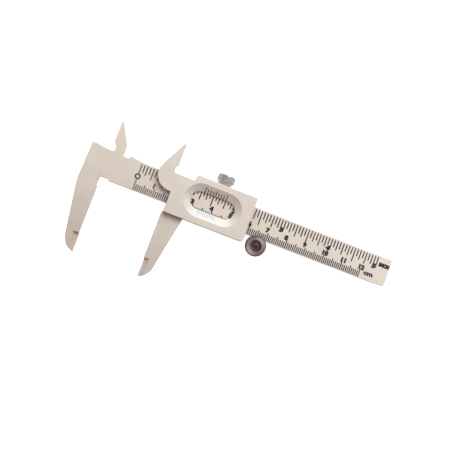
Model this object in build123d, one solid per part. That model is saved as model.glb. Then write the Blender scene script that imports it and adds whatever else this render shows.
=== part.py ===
from build123d import *
from math import radians, sin, tan
import os

# Plastic vernier caliper, in millimetres.
# Sizes are given in scale coordinates: X runs along the beam from its printed zero line, Y runs
# across the beam from its lower edge, Z rises from the resting face of the back cover.
# Sizes of the slider are given from its own zero line, which stands OPENING along the beam.

# Scale and measuring faces
SCALE_LENGTH = 120.0
OPENING = 33.2
FACE_OFFSET = 16.4

# Thickness stack, from the back to the front
COVER_THICKNESS = 2.5
SLIDE_GAP = 0.15
BEAM_THICKNESS = 4.0
PLATE_THICKNESS = 2.6

# Beam and head
BEAM_WIDTH = 14.2
BEAM_END_MARGIN = 14.5
BEAM_CORNER_RADIUS = 0.8
HEAD_LENGTH = 9.65
HEAD_RISE = 0.9
HEAD_RISE_LENGTH = 3.0
HEAD_SLOPE = 0.35
HEAD_SLOPE_LENGTH = 2.6
HEAD_CORNER_RADIUS = 0.6
NOTCH_DEPTH = 0.5
NOTCH_LENGTH = 2.8
RAMP_RISE = 0.85
RAMP_LENGTH = 8.5
EDGE_ROUNDING = 0.2
EJECTOR_MARK_RADIUS = 2.5
EJECTOR_MARK_DEPTH = 0.08
EJECTOR_MARK_INSET = 4.1
EJECTOR_MARK_DROP = 14.9

# Outside jaws
JAW_LENGTH = 38.4
JAW_SHOULDER_DROP = 4.6
JAW_SHOULDER_RADIUS = 0.8
JAW_TIP_RADIUS = 9.0
FIXED_JAW_ROOT = 10.2
FIXED_JAW_TAPER = 0.164
FIXED_TIP_RISE = 3.0
MOVING_JAW_ROOT = 10.9
MOVING_JAW_TAPER = 0.178
MOVING_TIP_RISE = 2.3
RELIEF_DEPTH = 0.75
CORNER_RELIEF = 0.8
CORNER_RELIEF_LENGTH = 3.4
KNIFE_LENGTH = 10.0
KNIFE_WIDTH = 3.0
KNIFE_FLAT = 1.6
KNIFE_THICKNESS = 1.5
KNIFE_STEP = 0.35

# Inside jaws, with heights from the upper edge of the beam
FIXED_INSIDE_TIP = 15.2
MOVING_INSIDE_TIP = 16.4
INSIDE_TIP_WIDTH = 0.9
INSIDE_TIP_BEVEL = 0.45
INSIDE_CORNER_RADIUS = 0.7
INSIDE_BEVEL_WIDTH = 3.1
INSIDE_BEVEL_FOOT = 4.4
INSIDE_EDGE_THICKNESS = 0.7
FIXED_INSIDE_WIDTH = 6.45
FIXED_INSIDE_SHOULDER = 5.1
FIXED_NECK_SETBACK = 1.65
FIXED_NECK_FOOT = 2.4
FIXED_NECK_HEAD = 4.9
MOVING_INSIDE_WIDTH = 8.4
MOVING_INSIDE_ROOT = 0.7
MOVING_SHOULDER_WIDTH = 6.7
MOVING_INSIDE_SHOULDER = 5.0
MOVING_NECK_SETBACK = 1.0
MOVING_NECK_FOOT = 3.7
MOVING_NECK_HEAD = 4.7
SHOULDER_RADIUS = 4.0

# Slider
PLATE_LEFT = -15.7
PLATE_RIGHT = 25.6
WALL_LEFT = -6.3
LOWER_WALL = 4.3
UPPER_WALL = 4.0
LOWER_WALL_GAP = 0.1
UPPER_WALL_GAP = 0.15
PLATE_CORNER_RADIUS = 0.7
EAR_HEIGHT = 1.05
EAR_DROP = 8.3
EAR_RADIUS = 8.0
WINDOW_CENTRE_X = 5.8
WINDOW_RISE = -0.05
WINDOW_HALF_LENGTH = 11.4
WINDOW_HALF_HEIGHT = 4.45
WINDOW_BEVEL_LENGTH = 3.4
WINDOW_BEVEL_HEIGHT = 3.9
WINDOW_LIP = 0.5

# Cover screws
SCREW_HEAD_RADIUS = 1.55
SCREW_HEAD_HEIGHT = 0.8
SCREW_SHANK_RADIUS = 0.9
SCREW_HOLE_CLEARANCE = 0.05
SCREW_LENGTH = 6.0
SCREW_POINT = 0.9
SCREW_END_INSET = 2.8
LEFT_SCREW_INSET = 4.3
RECESS_WIDTH = 0.4
RECESS_LENGTH = 1.8
RECESS_DEPTH = 0.7

# Lock screw, with its insert and pad
LOCK_CENTRE = 7.85
KNOB_RADIUS = 4.5
KNOB_FOOT_RADIUS = 3.1
KNOB_CONE_HEIGHT = 1.5
KNOB_RIM_HEIGHT = 3.5
KNOB_CHAMFER = 0.45
KNOB_GAP = 0.3
KNOB_SLOT_WIDTH = 1.2
KNOB_SLOT_DEPTH = 2.0
KNOB_SLOT_ANGLE = 10.0
KNOB_KNURLS = 30
KNURL_DEPTH = 0.22
LOCK_SHANK_RADIUS = 1.25
LOCK_THREAD_CLEARANCE = 0.05
INSERT_WALL = 0.45
INSERT_LENGTH = 2.0
INSERT_RECESS = 0.1
PAD_RADIUS = 1.15
PAD_CLEARANCE = 0.1
PAD_HEIGHT = 0.7
PAD_SPRING_GAP = 0.35
PAD_SOCKET_RADIUS = 0.7
PAD_SOCKET_DEPTH = 0.4
PAD_SOCKET_CLEARANCE = 0.03

# Leaf spring
SPRING_LENGTH = 18.0
SPRING_WIDTH = 2.4
SPRING_THICKNESS = 0.3
SPRING_CROWN = 0.85
SPRING_BEAM_GAP = 0.04
SPRING_CLEARANCE = 0.2

# Thumb roller
ROLLER_FROM_SLIDER = 7.1
ROLLER_DROP = 3.95
ROLLER_RADIUS = 5.25
ROLLER_THICKNESS = 1.9
ROLLER_FACE_GAP = 0.2
ROLLER_EDGE_GAP = 0.05
ROLLER_FOOT_GAP = 0.03
ROLLER_DISH_RADIUS = 2.9
ROLLER_DISH_DEPTH = 1.1
ROLLER_CHAMFER = 0.35
ROLLER_KNURLS = 40
AXLE_RADIUS = 0.75
AXLE_CLEARANCE = 0.05
AXLE_HEAD_RADIUS = 1.15
AXLE_HEAD_HEIGHT = 0.5
AXLE_RECESS = 0.2
WASHER_RADIUS = 2.2
WASHER_THICKNESS = 0.25
ARM_LOBE_RADIUS = 4.1
ARM_NECK_WIDTH = 5.2
ARM_WIDTH = 7.6
ARM_LOWER_EDGE = 0.7

# Heights that follow from the thickness stack
BEAM_BACK = COVER_THICKNESS + SLIDE_GAP
BEAM_FRONT = BEAM_BACK + BEAM_THICKNESS
PLATE_BACK = BEAM_FRONT + SLIDE_GAP
PLATE_FRONT = PLATE_BACK + PLATE_THICKNESS
BEAM_MIDDLE = BEAM_BACK + BEAM_THICKNESS / 2

# Places that follow from the sizes above
FACE_X = -FACE_OFFSET
LOWER_WALL_INNER = -LOWER_WALL_GAP
PLATE_BOTTOM = LOWER_WALL_INNER - LOWER_WALL
UPPER_WALL_INNER = BEAM_WIDTH + UPPER_WALL_GAP
PLATE_TOP = UPPER_WALL_INNER + UPPER_WALL
EAR_BOTTOM = BEAM_WIDTH - EAR_DROP
RAMP_LEFT = FACE_X + FIXED_INSIDE_WIDTH + NOTCH_LENGTH + NOTCH_DEPTH
RAMP_RIGHT = RAMP_LEFT + RAMP_LENGTH
FIXED_INSIDE_TIP_Y = BEAM_WIDTH + FIXED_INSIDE_TIP
MOVING_INSIDE_TIP_Y = BEAM_WIDTH + MOVING_INSIDE_TIP
WINDOW_CENTRE_Y = BEAM_WIDTH / 2 + WINDOW_RISE
SPRING_BOTTOM = BEAM_WIDTH + SPRING_BEAM_GAP
SPRING_SEAT = SPRING_BOTTOM + SPRING_CROWN + SPRING_THICKNESS
PAD_BOTTOM = SPRING_BOTTOM + SPRING_THICKNESS + PAD_SPRING_GAP
PAD_TOP = PAD_BOTTOM + PAD_HEIGHT
INSERT_TOP = PLATE_TOP - INSERT_RECESS
INSERT_BOTTOM = INSERT_TOP - INSERT_LENGTH
INSERT_BORE_RADIUS = LOCK_SHANK_RADIUS + LOCK_THREAD_CLEARANCE
INSERT_RADIUS = INSERT_BORE_RADIUS + INSERT_WALL
KNOB_FOOT = PLATE_TOP + KNOB_GAP
KNOB_TOP = KNOB_FOOT + KNOB_CONE_HEIGHT + KNOB_RIM_HEIGHT
ROLLER_X = PLATE_RIGHT + ROLLER_FROM_SLIDER
ROLLER_FOOT = COVER_THICKNESS + WASHER_THICKNESS + ROLLER_FOOT_GAP
ROLLER_BACK = BEAM_FRONT + ROLLER_FACE_GAP
ROLLER_FRONT = ROLLER_BACK + ROLLER_THICKNESS
ROLLER_BORE_RADIUS = AXLE_RADIUS + AXLE_CLEARANCE
DISH_FLOOR = ROLLER_FRONT - ROLLER_DISH_DEPTH
LOWER_SCREW_Y = LOWER_WALL_INNER - LOWER_WALL / 2
UPPER_SCREW_Y = UPPER_WALL_INNER + UPPER_WALL / 2
SCREW_PLACES = [
    (PLATE_LEFT + LEFT_SCREW_INSET, LOWER_SCREW_Y),
    (PLATE_RIGHT - SCREW_END_INSET, LOWER_SCREW_Y),
    (WALL_LEFT + SCREW_END_INSET, UPPER_SCREW_Y),
    (PLATE_RIGHT - SCREW_END_INSET, UPPER_SCREW_Y),
]


def rounded_face(corners):
    """Return the face inside a polygon whose corners are (x, y) or (x, y, rounding radius)."""
    points = [Vector(corner[0], corner[1]) for corner in corners]
    turns = []
    for index, corner in enumerate(corners):
        here = points[index]
        if len(corner) < 3:
            turns.append((here, None, here))
            continue
        radius = corner[2]
        back = (points[index - 1] - here).normalized()
        ahead = (points[(index + 1) % len(points)] - here).normalized()
        half_angle = radians(back.get_angle(ahead)) / 2
        reach = radius / tan(half_angle)
        middle = here + (back + ahead).normalized() * (radius / sin(half_angle) - radius)
        turns.append((here + back * reach, middle, here + ahead * reach))
    edges = []
    for index, (start, middle, end) in enumerate(turns):
        if middle is not None:
            edges.append(ThreePointArc(start, middle, end))
        edges.append(Line(end, turns[(index + 1) % len(turns)][0]))
    return make_face(Wire(edges))


def plate(corners, bottom, top):
    """Return a flat plate with a rounded outline between two heights."""
    return Pos(0, 0, bottom) * extrude(rounded_face(corners), top - bottom)


def block(x_range, y_range, z_range):
    """Return a box between two values along each axis."""
    ranges = (x_range, y_range, z_range)
    centre = [(low + high) / 2 for low, high in ranges]
    return Pos(*centre) * Box(*[high - low for low, high in ranges])


def upright(radius, bottom, top, x=0.0, y=0.0):
    """Return a cylinder along Z between two heights."""
    return Pos(x, y, (bottom + top) / 2) * Cylinder(radius, top - bottom)


def on_lock_axis(piece):
    """Turn a piece made along Z onto the lock screw's axis, so that its Z becomes Y."""
    return Pos(LOCK_CENTRE, 0, BEAM_MIDDLE) * Rot(-90, 0, 0) * piece


def on_roller_axis(piece):
    """Move a piece made round the Z axis onto the roller's axis."""
    return Pos(ROLLER_X, -ROLLER_DROP, 0) * piece


def round_plane(piece, height):
    """Round the outer edges that lie in the plane at a height."""
    edges = piece.edges().filter_by_position(Axis.Z, height, height)
    return fillet(edges, EDGE_ROUNDING)


def knurled(radius, bottom, top, count, chamfer_size):
    """Return a disc along Z with V-shaped grooves along its rim and a chamfered top."""
    height = top - bottom
    middle = Pos(0, 0, (bottom + top) / 2)
    groove_width = KNURL_DEPTH * 2**0.5
    groove = Pos(radius, 0, 0) * Rot(0, 0, 45) * Box(groove_width, groove_width, height)
    rim = Cylinder(radius, height) - PolarLocations(0, count) * groove
    return middle * (rim & Cone(radius - chamfer_size + height, radius - chamfer_size, height))


def outside_jaw(side, root, taper, tip_rise):
    """Return the corners of an outside jaw, from its outer shoulder round the tip to its face.

    side is -1 when the jaw lies on the -X side of its measuring face, and 1 on the other side.
    """
    corner_y = tip_rise - JAW_LENGTH
    corner_x = FACE_X + side * (root + taper * (corner_y + JAW_SHOULDER_DROP))
    knife_top = KNIFE_LENGTH - JAW_LENGTH
    return [
        (FACE_X + side * root, -JAW_SHOULDER_DROP, JAW_SHOULDER_RADIUS),
        (corner_x, corner_y, JAW_TIP_RADIUS),
        (FACE_X + KNIFE_STEP, -JAW_LENGTH),
        (FACE_X + KNIFE_STEP, knife_top),
        (FACE_X, knife_top),
        (FACE_X, -JAW_SHOULDER_DROP),
    ]


def knife_cut(side, surface, outward):
    """Return the wedge that thins the tip of an outside jaw from one of its broad sides."""
    depth = (BEAM_THICKNESS - KNIFE_THICKNESS) / 2
    profile = Polyline(
        (FACE_X - side, 0, surface - outward * depth),
        (FACE_X + side * KNIFE_FLAT, 0, surface - outward * depth),
        (FACE_X + side * (2 * KNIFE_WIDTH - KNIFE_FLAT), 0, surface + outward * depth),
        (FACE_X - side, 0, surface + outward * depth),
        close=True,
    )
    wedge = extrude(make_face(profile), KNIFE_LENGTH + 1, dir=(0, -1, 0))
    return Pos(0, KNIFE_LENGTH - JAW_LENGTH, 0) * wedge


def inside_bevel(side, surface, outward, thickness, tip_y):
    """Return the wedge that brings an inside jaw down to its thin measuring edge.

    side is the X direction that the measuring edge looks to, outward the Z direction of the bevel
    and tip_y the height of the jaw's tip.
    """
    depth = thickness - INSIDE_EDGE_THICKNESS
    slope = depth / INSIDE_BEVEL_WIDTH
    profile = Polyline(
        (FACE_X + side, 0, surface - outward * (depth + slope)),
        (FACE_X - side * (INSIDE_BEVEL_WIDTH + 1 / slope), 0, surface + outward),
        (FACE_X + side, 0, surface + outward),
        close=True,
    )
    foot_y = BEAM_WIDTH + INSIDE_BEVEL_FOOT
    wedge = extrude(make_face(profile), tip_y - foot_y + 1, dir=(0, 1, 0))
    return Pos(0, foot_y, 0) * wedge


def beam():
    """Return the main scale with its head, fixed outside jaw and fixed inside jaw."""
    beam_end = SCALE_LENGTH + BEAM_END_MARGIN
    blade_x = FACE_X + FIXED_INSIDE_WIDTH
    neck_x = FACE_X + FIXED_NECK_SETBACK
    head_x = FACE_X - HEAD_LENGTH
    head_top = BEAM_WIDTH + HEAD_RISE
    rise_x = head_x + HEAD_RISE_LENGTH
    notch_y = BEAM_WIDTH - NOTCH_DEPTH
    corners = [
        (beam_end, 0, BEAM_CORNER_RADIUS),
        (beam_end, BEAM_WIDTH, BEAM_CORNER_RADIUS),
        (RAMP_RIGHT, BEAM_WIDTH),
        (RAMP_LEFT, BEAM_WIDTH + RAMP_RISE),
        (blade_x + NOTCH_LENGTH, notch_y),
        (blade_x, notch_y, INSIDE_CORNER_RADIUS),
        (blade_x, BEAM_WIDTH + FIXED_INSIDE_SHOULDER, SHOULDER_RADIUS),
        (FACE_X + INSIDE_TIP_WIDTH, FIXED_INSIDE_TIP_Y),
        (FACE_X + INSIDE_TIP_BEVEL, FIXED_INSIDE_TIP_Y),
        (FACE_X, FIXED_INSIDE_TIP_Y - 2 * INSIDE_TIP_BEVEL),
        (FACE_X, BEAM_WIDTH + FIXED_NECK_HEAD, INSIDE_CORNER_RADIUS),
        (neck_x, BEAM_WIDTH + FIXED_NECK_FOOT, INSIDE_CORNER_RADIUS),
        (neck_x, BEAM_WIDTH, INSIDE_CORNER_RADIUS),
        (rise_x + HEAD_SLOPE_LENGTH, BEAM_WIDTH + HEAD_SLOPE),
        (rise_x, head_top),
        (head_x, head_top, HEAD_CORNER_RADIUS),
        *outside_jaw(-1, FIXED_JAW_ROOT, FIXED_JAW_TAPER, FIXED_TIP_RISE),
        (FACE_X - RELIEF_DEPTH, -JAW_SHOULDER_DROP + RELIEF_DEPTH),
        (FACE_X - RELIEF_DEPTH, CORNER_RELIEF, INSIDE_CORNER_RADIUS),
        (FACE_X + CORNER_RELIEF_LENGTH, CORNER_RELIEF),
        (FACE_X + CORNER_RELIEF_LENGTH + CORNER_RELIEF, 0),
    ]
    body = plate(corners, BEAM_BACK, BEAM_FRONT)
    body = round_plane(body, BEAM_FRONT)
    body = round_plane(body, BEAM_BACK)
    body -= knife_cut(-1, BEAM_FRONT, 1)
    body -= knife_cut(-1, BEAM_BACK, -1)
    body -= inside_bevel(-1, BEAM_BACK, -1, BEAM_THICKNESS, FIXED_INSIDE_TIP_Y)
    mark_x = FACE_X - EJECTOR_MARK_INSET
    mark_floor = BEAM_FRONT - EJECTOR_MARK_DEPTH
    body -= upright(EJECTOR_MARK_RADIUS, mark_floor, BEAM_FRONT, mark_x, -EJECTOR_MARK_DROP)
    return body


def front_plate():
    """Return the front of the slider with its ear and the moving inside jaw."""
    neck_x = FACE_X - MOVING_NECK_SETBACK
    ear_x = FACE_X - MOVING_INSIDE_WIDTH
    ear_top = BEAM_WIDTH + EAR_HEIGHT
    corners = [
        (PLATE_LEFT, PLATE_BOTTOM, PLATE_CORNER_RADIUS),
        (PLATE_RIGHT, PLATE_BOTTOM, PLATE_CORNER_RADIUS),
        (PLATE_RIGHT, PLATE_TOP, PLATE_CORNER_RADIUS),
        (WALL_LEFT, PLATE_TOP, PLATE_CORNER_RADIUS),
        (WALL_LEFT, ear_top, PLATE_CORNER_RADIUS),
        (neck_x, ear_top, PLATE_CORNER_RADIUS),
        (neck_x, BEAM_WIDTH + MOVING_NECK_FOOT, INSIDE_CORNER_RADIUS),
        (FACE_X, BEAM_WIDTH + MOVING_NECK_HEAD, INSIDE_CORNER_RADIUS),
        (FACE_X, MOVING_INSIDE_TIP_Y - 2 * INSIDE_TIP_BEVEL),
        (FACE_X - INSIDE_TIP_BEVEL, MOVING_INSIDE_TIP_Y),
        (FACE_X - INSIDE_TIP_WIDTH, MOVING_INSIDE_TIP_Y),
        (FACE_X - MOVING_SHOULDER_WIDTH, BEAM_WIDTH + MOVING_INSIDE_SHOULDER, SHOULDER_RADIUS),
        (ear_x, BEAM_WIDTH + MOVING_INSIDE_ROOT, SHOULDER_RADIUS),
        (ear_x, EAR_BOTTOM, EAR_RADIUS),
        (PLATE_LEFT, EAR_BOTTOM),
    ]
    front = round_plane(plate(corners, PLATE_BACK, PLATE_FRONT), PLATE_FRONT)
    return front - inside_bevel(1, PLATE_FRONT, 1, PLATE_THICKNESS, MOVING_INSIDE_TIP_Y)


def window():
    """Return the bevelled opening through the front plate."""
    outer = SlotOverall(
        2 * (WINDOW_HALF_LENGTH + WINDOW_BEVEL_LENGTH), 2 * (WINDOW_HALF_HEIGHT + WINDOW_BEVEL_HEIGHT)
    )
    inner = SlotOverall(2 * WINDOW_HALF_LENGTH, 2 * WINDOW_HALF_HEIGHT)
    lip_top = PLATE_BACK + WINDOW_LIP
    bevel = loft([Pos(0, 0, lip_top) * inner, Pos(0, 0, PLATE_FRONT) * outer], ruled=True)
    shaft = Pos(0, 0, PLATE_BACK) * extrude(inner, PLATE_THICKNESS)
    return Pos(WINDOW_CENTRE_X, WINDOW_CENTRE_Y, 0) * (bevel + shaft)


def back_corners():
    """Return the outline shared by the channel walls and the cover."""
    return [
        (PLATE_LEFT, PLATE_BOTTOM, PLATE_CORNER_RADIUS),
        (PLATE_RIGHT, PLATE_BOTTOM, PLATE_CORNER_RADIUS),
        (PLATE_RIGHT, PLATE_TOP, PLATE_CORNER_RADIUS),
        (WALL_LEFT, PLATE_TOP, PLATE_CORNER_RADIUS),
        (WALL_LEFT, UPPER_WALL_INNER - PLATE_CORNER_RADIUS, PLATE_CORNER_RADIUS),
        (PLATE_LEFT, EAR_BOTTOM, PLATE_CORNER_RADIUS),
    ]


def ramp_relief():
    """Return the space that clears the beam's ramp under the upper wall when the jaws are shut."""
    corners = [
        (RAMP_RIGHT, UPPER_WALL_INNER),
        (RAMP_LEFT, UPPER_WALL_INNER + RAMP_RISE),
        (WALL_LEFT - 1, UPPER_WALL_INNER + RAMP_RISE),
        (WALL_LEFT - 1, BEAM_WIDTH),
        (RAMP_RIGHT, BEAM_WIDTH),
    ]
    return plate(corners, COVER_THICKNESS, PLATE_BACK)


def slider_body():
    """Return the slider with its window, channel walls and both moving jaws."""
    walls = plate(back_corners(), COVER_THICKNESS, PLATE_BACK)
    channel_y = (LOWER_WALL_INNER, UPPER_WALL_INNER)
    walls -= block((PLATE_LEFT - 1, PLATE_RIGHT + 1), channel_y, (COVER_THICKNESS, PLATE_BACK))
    walls -= ramp_relief()
    jaw_root_y = PLATE_BOTTOM + LOWER_WALL / 2
    shoulder, *jaw = outside_jaw(1, MOVING_JAW_ROOT, MOVING_JAW_TAPER, MOVING_TIP_RISE)
    jaw_corners = [
        (FACE_X + MOVING_JAW_ROOT, jaw_root_y),
        shoulder[:2],
        *jaw,
        (PLATE_LEFT, -JAW_SHOULDER_DROP + FACE_OFFSET + PLATE_LEFT),
        (PLATE_LEFT, jaw_root_y),
    ]
    jaw_body = plate(jaw_corners, BEAM_BACK, BEAM_FRONT)
    jaw_body = round_plane(jaw_body, BEAM_FRONT)
    jaw_body = round_plane(jaw_body, BEAM_BACK)
    jaw_body -= knife_cut(1, BEAM_FRONT, 1)
    jaw_body -= knife_cut(1, BEAM_BACK, -1)
    body = front_plate() + walls + jaw_body - window()
    pocket_x = SPRING_LENGTH / 2 + SPRING_CLEARANCE
    pocket_z = SPRING_WIDTH / 2 + SPRING_CLEARANCE
    body -= block(
        (LOCK_CENTRE - pocket_x, LOCK_CENTRE + pocket_x),
        (BEAM_WIDTH, SPRING_SEAT),
        (BEAM_MIDDLE - pocket_z, BEAM_MIDDLE + pocket_z),
    )
    body -= on_lock_axis(upright(PAD_RADIUS + PAD_CLEARANCE, BEAM_WIDTH, INSERT_BOTTOM))
    body -= on_lock_axis(upright(INSERT_RADIUS, INSERT_BOTTOM, PLATE_TOP + 1))
    for x, y in SCREW_PLACES:
        body -= upright(SCREW_SHANK_RADIUS, COVER_THICKNESS, SCREW_LENGTH, x, y)
    return body


def back_cover():
    """Return the plate behind the beam, with the arm that carries the roller."""
    cover = plate(back_corners(), 0, COVER_THICKNESS)
    cover = round_plane(cover, 0)
    arm_right = ROLLER_X + ARM_NECK_WIDTH / 2
    arm_top = ARM_LOWER_EDGE + ARM_WIDTH
    arm_corners = [
        (PLATE_RIGHT - PLATE_CORNER_RADIUS - EDGE_ROUNDING, ARM_LOWER_EDGE),
        (ROLLER_X - ARM_NECK_WIDTH / 2, ARM_LOWER_EDGE),
        (ROLLER_X - ARM_NECK_WIDTH / 2, -ROLLER_DROP),
        (arm_right, -ROLLER_DROP),
        (arm_right, arm_top, ARM_NECK_WIDTH / 2),
        (PLATE_RIGHT - PLATE_CORNER_RADIUS - EDGE_ROUNDING, arm_top),
    ]
    cover += plate(arm_corners, 0, COVER_THICKNESS)
    cover += on_roller_axis(upright(ARM_LOBE_RADIUS, 0, COVER_THICKNESS))
    cover -= on_roller_axis(upright(AXLE_RADIUS, 0, COVER_THICKNESS))
    for x, y in SCREW_PLACES:
        hole = upright(SCREW_SHANK_RADIUS + SCREW_HOLE_CLEARANCE, 0, COVER_THICKNESS)
        cover -= Pos(x, y, 0) * (hole + screw_head())
    return cover


def screw_head():
    """Return the countersunk head of a cover screw, flush with the cover at height 0."""
    head = Cone(SCREW_HEAD_RADIUS, SCREW_SHANK_RADIUS, SCREW_HEAD_HEIGHT)
    return Pos(0, 0, SCREW_HEAD_HEIGHT / 2) * head


def cover_screw():
    """Return a countersunk self-tapping screw with a cross recess."""
    shank_end = SCREW_LENGTH - SCREW_POINT
    screw = screw_head() + upright(SCREW_SHANK_RADIUS, SCREW_HEAD_HEIGHT, shank_end)
    point = Cone(SCREW_SHANK_RADIUS, SCREW_SHANK_RADIUS / 4, SCREW_POINT)
    screw += Pos(0, 0, shank_end + SCREW_POINT / 2) * point
    slot = Pos(0, 0, RECESS_DEPTH / 2) * Box(RECESS_LENGTH, RECESS_WIDTH, RECESS_DEPTH)
    return screw - slot - Rot(0, 0, 90) * slot


def lock_insert():
    """Return the threaded insert in the upper wall of the slider."""
    sleeve = upright(INSERT_RADIUS, INSERT_BOTTOM, INSERT_TOP)
    return on_lock_axis(sleeve - upright(INSERT_BORE_RADIUS, INSERT_BOTTOM, INSERT_TOP))


def lock_pad():
    """Return the pressure pad that the lock screw pushes against the leaf spring."""
    pad = upright(PAD_RADIUS, PAD_BOTTOM, PAD_TOP)
    return on_lock_axis(pad - upright(PAD_SOCKET_RADIUS, PAD_TOP - PAD_SOCKET_DEPTH, PAD_TOP))


def lock_screw():
    """Return the knurled thumb screw with its conical foot, shank and pad pivot."""
    rim_foot = KNOB_FOOT + KNOB_CONE_HEIGHT
    rim = knurled(KNOB_RADIUS, rim_foot, KNOB_TOP, KNOB_KNURLS, KNOB_CHAMFER)
    cone = Cone(KNOB_FOOT_RADIUS, KNOB_RADIUS - KNURL_DEPTH, KNOB_CONE_HEIGHT)
    knob = rim + Pos(0, 0, KNOB_FOOT + KNOB_CONE_HEIGHT / 2) * cone
    slot = Box(KNOB_SLOT_WIDTH, 3 * KNOB_RADIUS, KNOB_SLOT_DEPTH)
    knob -= Pos(0, 0, KNOB_TOP - KNOB_SLOT_DEPTH / 2) * Rot(0, 0, KNOB_SLOT_ANGLE) * slot
    shoulder = PAD_TOP + PAD_SOCKET_CLEARANCE
    shank = upright(LOCK_SHANK_RADIUS, shoulder, KNOB_FOOT)
    pivot_radius = PAD_SOCKET_RADIUS - PAD_SOCKET_CLEARANCE
    pivot_end = PAD_TOP - PAD_SOCKET_DEPTH + PAD_SOCKET_CLEARANCE
    return on_lock_axis(knob + shank + upright(pivot_radius, pivot_end, shoulder))


def gib_spring():
    """Return the bowed leaf spring between the upper wall and the beam."""
    half = SPRING_LENGTH / 2
    low_end = SPRING_BOTTOM + SPRING_CROWN
    lower = ThreePointArc((-half, low_end), (0, SPRING_BOTTOM), (half, low_end))
    upper = Pos(0, SPRING_THICKNESS) * lower
    ends = [Line(lower @ 0, upper @ 0), Line(lower @ 1, upper @ 1)]
    strip = extrude(make_face([lower, upper, *ends]), SPRING_WIDTH)
    return Pos(LOCK_CENTRE, 0, BEAM_MIDDLE - SPRING_WIDTH / 2) * strip


def thumb_roller():
    """Return the thumb wheel, whose hub rolls on the lower edge of the beam."""
    hub = upright(ROLLER_DROP - ROLLER_EDGE_GAP, ROLLER_FOOT, ROLLER_BACK)
    flange = knurled(ROLLER_RADIUS, ROLLER_BACK, ROLLER_FRONT, ROLLER_KNURLS, ROLLER_CHAMFER)
    dish = Cone(ROLLER_DISH_RADIUS - ROLLER_CHAMFER, ROLLER_DISH_RADIUS, ROLLER_DISH_DEPTH)
    wheel = hub + flange - Pos(0, 0, (DISH_FLOOR + ROLLER_FRONT) / 2) * dish
    return on_roller_axis(wheel - upright(ROLLER_BORE_RADIUS, ROLLER_FOOT, DISH_FLOOR))


def roller_axle():
    """Return the pin of the roller, with its domed head in the dish."""
    head_bottom = DISH_FLOOR + AXLE_CLEARANCE
    head = upright(AXLE_HEAD_RADIUS, head_bottom, head_bottom + AXLE_HEAD_HEIGHT)
    head = fillet(head.edges().group_by(Axis.Z)[-1], AXLE_HEAD_HEIGHT * 0.9)
    return on_roller_axis(head + upright(AXLE_RADIUS, AXLE_RECESS, head_bottom))


def roller_washer():
    """Return the spacer between the arm and the roller."""
    top = COVER_THICKNESS + WASHER_THICKNESS
    disc = upright(WASHER_RADIUS, COVER_THICKNESS, top)
    return on_roller_axis(disc - upright(ROLLER_BORE_RADIUS, COVER_THICKNESS, top))


def caliper():
    """Return every piece by name, in scale coordinates."""
    slider_pieces = {
        "slider_body": slider_body(),
        "back_cover": back_cover(),
        "gib_spring": gib_spring(),
        "lock_insert": lock_insert(),
        "lock_pad": lock_pad(),
        "lock_screw": lock_screw(),
        "thumb_roller": thumb_roller(),
        "roller_axle": roller_axle(),
        "roller_washer": roller_washer(),
    }
    for number, (x, y) in enumerate(SCREW_PLACES, start=1):
        slider_pieces[f"cover_screw_{number}"] = Pos(x, y, 0) * cover_screw()
    pieces = {"beam": beam()}
    for name, piece in slider_pieces.items():
        pieces[name] = Pos(OPENING, 0, 0) * piece
    return pieces


# The origin of the finished part is the middle of the bottom of its box
pieces = caliper()
box = Compound(children=[Compound([piece.solid()]) for piece in pieces.values()]).bounding_box()
to_origin = Pos(-box.center().X, -box.center().Y, -box.min.Z)
os.makedirs("parts", exist_ok=True)
for name, piece in pieces.items():
    solid = (to_origin * piece).solid()
    solid.label = name
    export_step(solid, f"parts/{name}.step")
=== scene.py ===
"""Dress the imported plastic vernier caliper: mouldings, printed scales, metal parts, studio and camera.

Places on a printed face are given in millimetres: u runs along the scale from its zero line, v runs
across it from the beam's lower edge or from the window's edge, and heights stand off the face.
"""

import logging
import math
from collections.abc import Callable
from dataclasses import dataclass, field
from enum import Enum

import bmesh
import bpy
from mathutils import Matrix, Vector


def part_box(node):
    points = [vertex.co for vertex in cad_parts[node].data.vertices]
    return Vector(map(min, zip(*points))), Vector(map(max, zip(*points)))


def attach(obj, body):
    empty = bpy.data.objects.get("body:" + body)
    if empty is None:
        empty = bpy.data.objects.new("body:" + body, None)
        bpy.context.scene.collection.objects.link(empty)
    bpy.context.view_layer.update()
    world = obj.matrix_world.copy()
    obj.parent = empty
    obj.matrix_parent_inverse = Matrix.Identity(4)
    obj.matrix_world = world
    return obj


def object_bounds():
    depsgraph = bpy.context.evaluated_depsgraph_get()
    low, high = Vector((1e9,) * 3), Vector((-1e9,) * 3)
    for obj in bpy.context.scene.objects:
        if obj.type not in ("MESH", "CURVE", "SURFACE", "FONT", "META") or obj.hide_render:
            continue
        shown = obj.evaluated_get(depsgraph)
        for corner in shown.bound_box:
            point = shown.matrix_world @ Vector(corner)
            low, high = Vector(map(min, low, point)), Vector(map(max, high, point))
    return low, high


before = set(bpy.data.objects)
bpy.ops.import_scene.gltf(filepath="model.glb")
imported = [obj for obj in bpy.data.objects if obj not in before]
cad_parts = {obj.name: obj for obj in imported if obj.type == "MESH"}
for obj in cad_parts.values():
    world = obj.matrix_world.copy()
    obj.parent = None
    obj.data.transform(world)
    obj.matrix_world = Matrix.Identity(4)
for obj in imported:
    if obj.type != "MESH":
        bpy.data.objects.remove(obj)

CAD_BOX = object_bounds()
MM = 0.001
INCH = 25.4
# A quarter turn of the anisotropy, which lays the highlights across the grooves.
ACROSS_GROOVES = 0.25
LOG = logging.getLogger("caliper")
Colour = tuple[float, float, float]
Material = bpy.types.Material
Socket = bpy.types.NodeSocket


class Slot(Enum):
    """The names of the record's material slots for the black and the blue print."""

    PRINT_BLACK = "print_black"
    PRINT_BLUE = "print_blue"


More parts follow.
